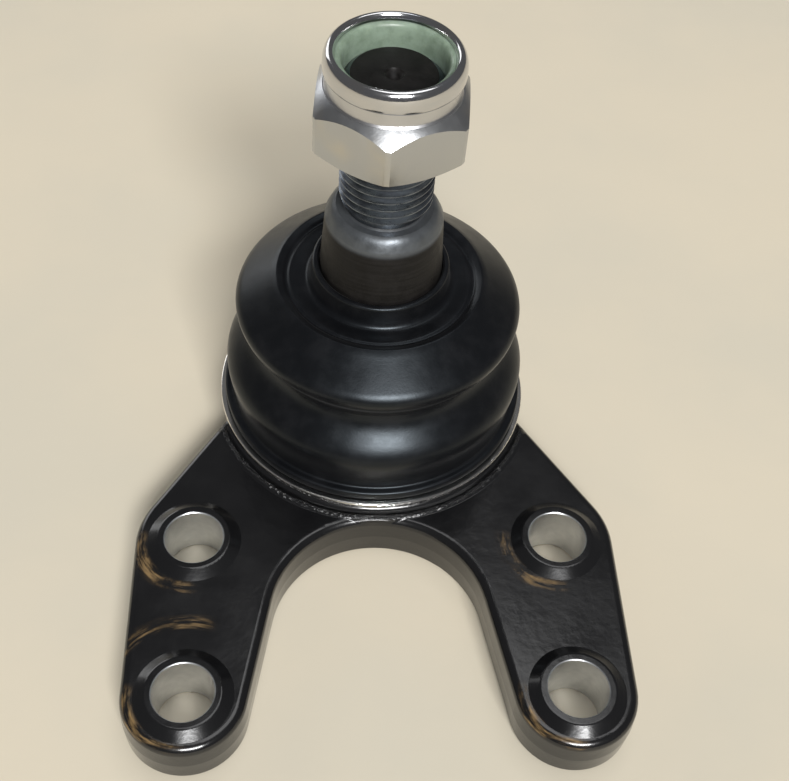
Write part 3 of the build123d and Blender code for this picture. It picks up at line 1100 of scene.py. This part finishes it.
        # The tip's end face and centre hole take the near-black painted shade.
        end_z = self.tip_z - self.centre_r - self.slack
        for face in thread.data.polygons:
            reach = math.hypot(face.center.x, face.center.y - STUD_Y * MM)
            inside = reach < (self.crest_r - self.tip_chamfer) * MM
            face.material_index = int(inside and face.center.z > end_z * MM)
        for piece, slot in ((shank, Slot.PHOSPHATE), (thread, Slot.STUD)):
            smooth(piece, self.smooth_deg)
            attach(piece, Body.STUD.value)
            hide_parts("ball_stud")
        return [shank, thread]


@dataclass
class LockNut:
    """The hexagon lock nut: chamfered hexagon, rolled collar and the nylon ring inside it."""

    matt: Plate = Plate("nut_zinc_plate", silver=(0.52, 0.53, 0.54), low=0.30, high=0.38, grain=0.4)
    bright: Plate = Plate("collar_zinc_plate", silver=(0.62, 0.62, 0.63), low=0.11, high=0.17, grain=1.6)
    nylon: Nylon = Nylon()
    flats: float = 24.0
    corner_r: float = 13.6
    bottom_z: float = 74.0
    hex_h: float = 9.7
    top_z: float = 90.0
    top_chamfer: float = 2.2
    bottom_chamfer: float = 0.8
    turn_deg: float = -5.0
    bore_r: float = 8.05
    bore_mouth: float = 1.8
    overcut: float = 1.0
    collar_r: float = 11.2
    collar_step: float = 0.1
    collar_sink: float = 1.0
    mouth_r: float = 9.3
    mouth_way: Point = (-0.2, -0.98)
    pocket_r: float = 10.2
    pocket_edge: float = 1.5
    pocket_floor: Point = (0.2, 0.4)
    wall_r: float = 10.7
    wall_foot: Point = (0.25, 0.3)
    roll_foot_z: float = 86.2
    roll_foot: float = 0.1
    roll_way: Point = (0.97, 0.24)
    roll_mid_z: float = 88.0
    roll_in: float = 1.2
    roll_lip: Point = (1.0, 1.3)
    bright_above: float = 0.5
    nylon_z: float = 84.55
    nylon_top_z: float = 88.9
    nylon_lip_z: float = 87.0
    nylon_gap: float = 0.1
    nylon_edge: float = 0.5
    nylon_flat: float = 0.3
    edge: float = 0.22
    edge_steps: int = 3
    edge_deg: float = 24.0
    roll_steps: int = 8
    steps: int = 128
    steel_smooth_deg: float = 30.0
    nylon_smooth_deg: float = 40.0

    @property
    def hex_top(self) -> float:
        """The height of the hexagon's top."""
        return self.bottom_z + self.hex_h

    def hexagon(self) -> bpy.types.Object:
        """Make the hexagon, its corners turned down to a cone above and below.

        Returns:
            The hexagon, still without its bore.
        """
        deselect()
        bpy.ops.mesh.primitive_cylinder_add(
            vertices=6, radius=self.flats / math.sqrt(3) * MM, depth=self.hex_h * MM,
            location=on_axis(self.bottom_z + self.hex_h / 2), rotation=(0, 0, math.radians(self.turn_deg)),
        )
        piece = named("lock_nut_body")
        bpy.ops.object.transform_apply(location=True, rotation=True, scale=True)
        blank = turn("nut_blank", [
            (0.0, self.bottom_z), (self.flats / 2, self.bottom_z),
            (self.corner_r, self.bottom_z + self.bottom_chamfer),
            (self.corner_r, self.hex_top - self.top_chamfer),
            (self.collar_r - self.collar_step, self.hex_top), (0.0, self.hex_top),
        ], self.steps)
        combine(piece, blank, Combine.KEEP_COMMON)
        add_modifier(piece, "BEVEL", width=self.edge * MM, segments=self.edge_steps, limit_method="ANGLE",
                     angle_limit=math.radians(self.edge_deg))
        return piece

    def bore(self) -> bpy.types.Object:
        """Turn the space that the stud needs in the hexagon, with a countersunk mouth.

        Returns:
            A tool shape for cutting the bore.
        """
        below = self.bottom_z - self.overcut
        return turn("nut_bore", [
            (0.0, below), (self.bore_r + self.bore_mouth, below),
            (self.bore_r, self.bottom_z + self.bottom_chamfer),
            (self.bore_r, self.top_z), (0.0, self.top_z),
        ], self.steps)

    def collar(self) -> bpy.types.Object:
        """Turn the collar above the hexagon, rolled in over the nylon.

        Returns:
            The collar.
        """
        pocket_in, foot_r = self.pocket_r - self.pocket_edge, self.wall_r + self.wall_foot[0]
        sunk_z = self.hex_top - self.collar_sink
        lip, roof = self.roll_lip
        rim, floor = self.pocket_floor
        outline = [(pocket_in, sunk_z), (foot_r, sunk_z), (foot_r, self.hex_top)]
        outline += [(self.wall_r, self.hex_top + self.wall_foot[1]), (self.wall_r, self.roll_foot_z)]
        outline += sweep([
            ((self.wall_r + self.roll_foot, self.roll_foot_z + self.roll_foot), self.roll_way),
            ((self.collar_r, self.roll_mid_z), UP),
            ((self.collar_r - self.roll_in, self.top_z), INWARD),
            ((self.mouth_r, self.top_z - lip), self.mouth_way),
        ], self.roll_steps)
        outline += [(self.pocket_r, self.top_z - roof), (self.pocket_r, self.nylon_z - rim)]
        return turn("lock_nut_collar", outline + [(pocket_in, self.nylon_z - floor)], self.steps)

    def insert(self) -> bpy.types.Object:
        """Turn the nylon ring, a shallow funnel down to a bore that clears the thread.

        Returns:
            The ring.
        """
        outer_r = self.pocket_r - self.nylon_gap
        outline = [(self.bore_r, self.nylon_z), (outer_r, self.nylon_z)]
        outline += [(outer_r, self.nylon_top_z - self.nylon_edge), (self.mouth_r, self.nylon_top_z)]
        outline += sweep([((self.mouth_r - self.nylon_flat, self.nylon_top_z), INWARD),
                          ((self.bore_r, self.nylon_lip_z), self.mouth_way)], self.roll_steps)
        return turn("lock_nut_nylon", outline, self.steps)

    def build(self) -> list[bpy.types.Object]:
        """Make the nut and its insert and dress them.

        Returns:
            The hexagon, the collar and the nylon ring.
        """
        body = self.hexagon()
        combine(body, self.bore(), Combine.CUT_AWAY)
        collar = self.collar()
        bright = replace(self.bright, bright_z=self.roll_foot_z + self.bright_above)
        for piece, zinc in ((body, self.matt), (collar, bright)):
            dress(piece, zinc.make())
            smooth(piece, self.steel_smooth_deg)
            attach(piece, Body.NUT.value)
            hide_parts("lock_nut")
        ring = self.insert()
        dress(ring, self.nylon.make())
        smooth(ring, self.nylon_smooth_deg)
        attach(ring, Body.NUT_COLLAR.value)
        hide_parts("nylon_insert")
        return [body, collar, ring]


# ---------------------------------------------------------------- stage


@dataclass(frozen=True)
class Lamp:
    """One soft lamp that looks at the joint, its place and size in metres."""

    name: str
    place: Place
    size: Point
    watts: float
    target: Place = (0.0, 0.03, 0.03)

    def hang(self) -> bpy.types.Object:
        """Hang the lamp, itself unseen by the camera.

        Returns:
            The lamp's object.
        """
        deselect()
        bpy.ops.object.light_add(type="AREA", location=self.place)
        lamp = named(self.name)
        lamp.data.shape = "RECTANGLE"
        lamp.data.size, lamp.data.size_y = self.size
        lamp.data.energy = self.watts
        lamp.visible_camera = False
        aim = Vector(self.target) - Vector(self.place)
        lamp.rotation_euler = aim.to_track_quat("-Z", "Y").to_euler()
        return lamp


@dataclass
class Studio:
    """Floor, lamps, surroundings and camera."""

    bench: Bench = Bench()
    bench_m: float = 20.0
    lamps: tuple[Lamp, ...] = (
        Lamp("key_softbox", (0.63, -3.84, 3.48), (2.16, 1.20), 333.0),
        Lamp("high_softbox", (0.15, 0.20, 1.10), (0.6, 0.6), 2.4),
        Lamp("back_softbox", (-2.0, 3.08, 1.08), (1.75, 1.75), 18.75),
    )
    room: Colour = (0.90, 0.90, 0.92)
    room_strength: float = 0.12
    focal_px: float = 1252.6
    pitch: float = 50.57
    roll: float = 5.45
    yaw: float = 6.48
    shift_mm: Place = (-3.14, 45.12, 226.17)
    frame_px: tuple[int, int] = (789, 781)
    sensor_mm: float = 36.0
    near_m: float = 0.005

    def floor(self) -> bpy.types.Object:
        """Lay the bench top, wide enough to fill every view.

        Returns:
            The bench top.
        """
        deselect()
        bpy.ops.mesh.primitive_grid_add(
            x_subdivisions=8, y_subdivisions=8, size=self.bench_m, location=(0, 0, 0),
        )
        floor = named("bench_floor")
        dress(floor, self.bench.make())
        return floor

    def surroundings(self) -> None:
        """Pale even surroundings."""
        world = bpy.data.worlds.new("pale_room")
        bpy.context.scene.world = world
        world.use_nodes = True
        background = world.node_tree.nodes["Background"]
        background.inputs["Color"].default_value = (*self.room, 1.0)
        background.inputs["Strength"].default_value = self.room_strength

    def camera(self) -> bpy.types.Object:
        """Place the camera by its focal length in pixels, its three angles and the joint's offset from it.

        Returns:
            The camera's object.
        """
        cy, sy = math.cos(math.radians(self.yaw)), math.sin(math.radians(self.yaw))
        cp, sp = math.cos(math.radians(self.pitch)), math.sin(math.radians(self.pitch))
        cr, sr = math.cos(math.radians(self.roll)), math.sin(math.radians(self.roll))
        yawed = Matrix(((cy, -sy, 0), (sy, cy, 0), (0, 0, 1)))
        level = Matrix(((1, 0, 0), (0, 0, -1), (0, 1, 0)))
        pitched = Matrix(((1, 0, 0), (0, cp, -sp), (0, sp, cp)))
        rolled = Matrix(((cr, -sr, 0), (sr, cr, 0), (0, 0, 1)))
        look = rolled @ pitched @ level @ yawed
        place = -(look.transposed() @ Vector(self.shift_mm)) * MM
        turned = look.transposed() @ Matrix.Diagonal((1, -1, -1))
        deselect()
        bpy.ops.object.camera_add(location=place, rotation=turned.to_euler())
        camera = named("main_camera")
        camera.data.sensor_fit = "HORIZONTAL"
        camera.data.sensor_width = self.sensor_mm
        camera.data.lens = self.focal_px * self.sensor_mm / self.frame_px[0]
        camera.data.clip_start = self.near_m
        bpy.context.scene.camera = camera
        return camera

    def build(self) -> list[bpy.types.Object]:
        """Set the stage.

        Returns:
            The bench top, the lamps and the camera.
        """
        floor = self.floor()
        self.surroundings()
        lamps = [lamp.hang() for lamp in self.lamps]
        camera = self.camera()
        bpy.context.scene.view_settings.view_transform = "Standard"
        return [floor, *lamps, camera]


def main() -> None:
    """Build and dress every sub-assembly, set the stage and report each piece."""
    logging.basicConfig(level=logging.INFO, format="%(message)s")
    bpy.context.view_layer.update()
    for part in (Housing(), Boot(), Stud(), LockNut(), Studio()):
        for piece in part.build():
            LOG.info("%s: %s", type(part).__name__, piece.name)
    deselect()
    bpy.context.view_layer.update()


if __name__ == "__main__":
    main()
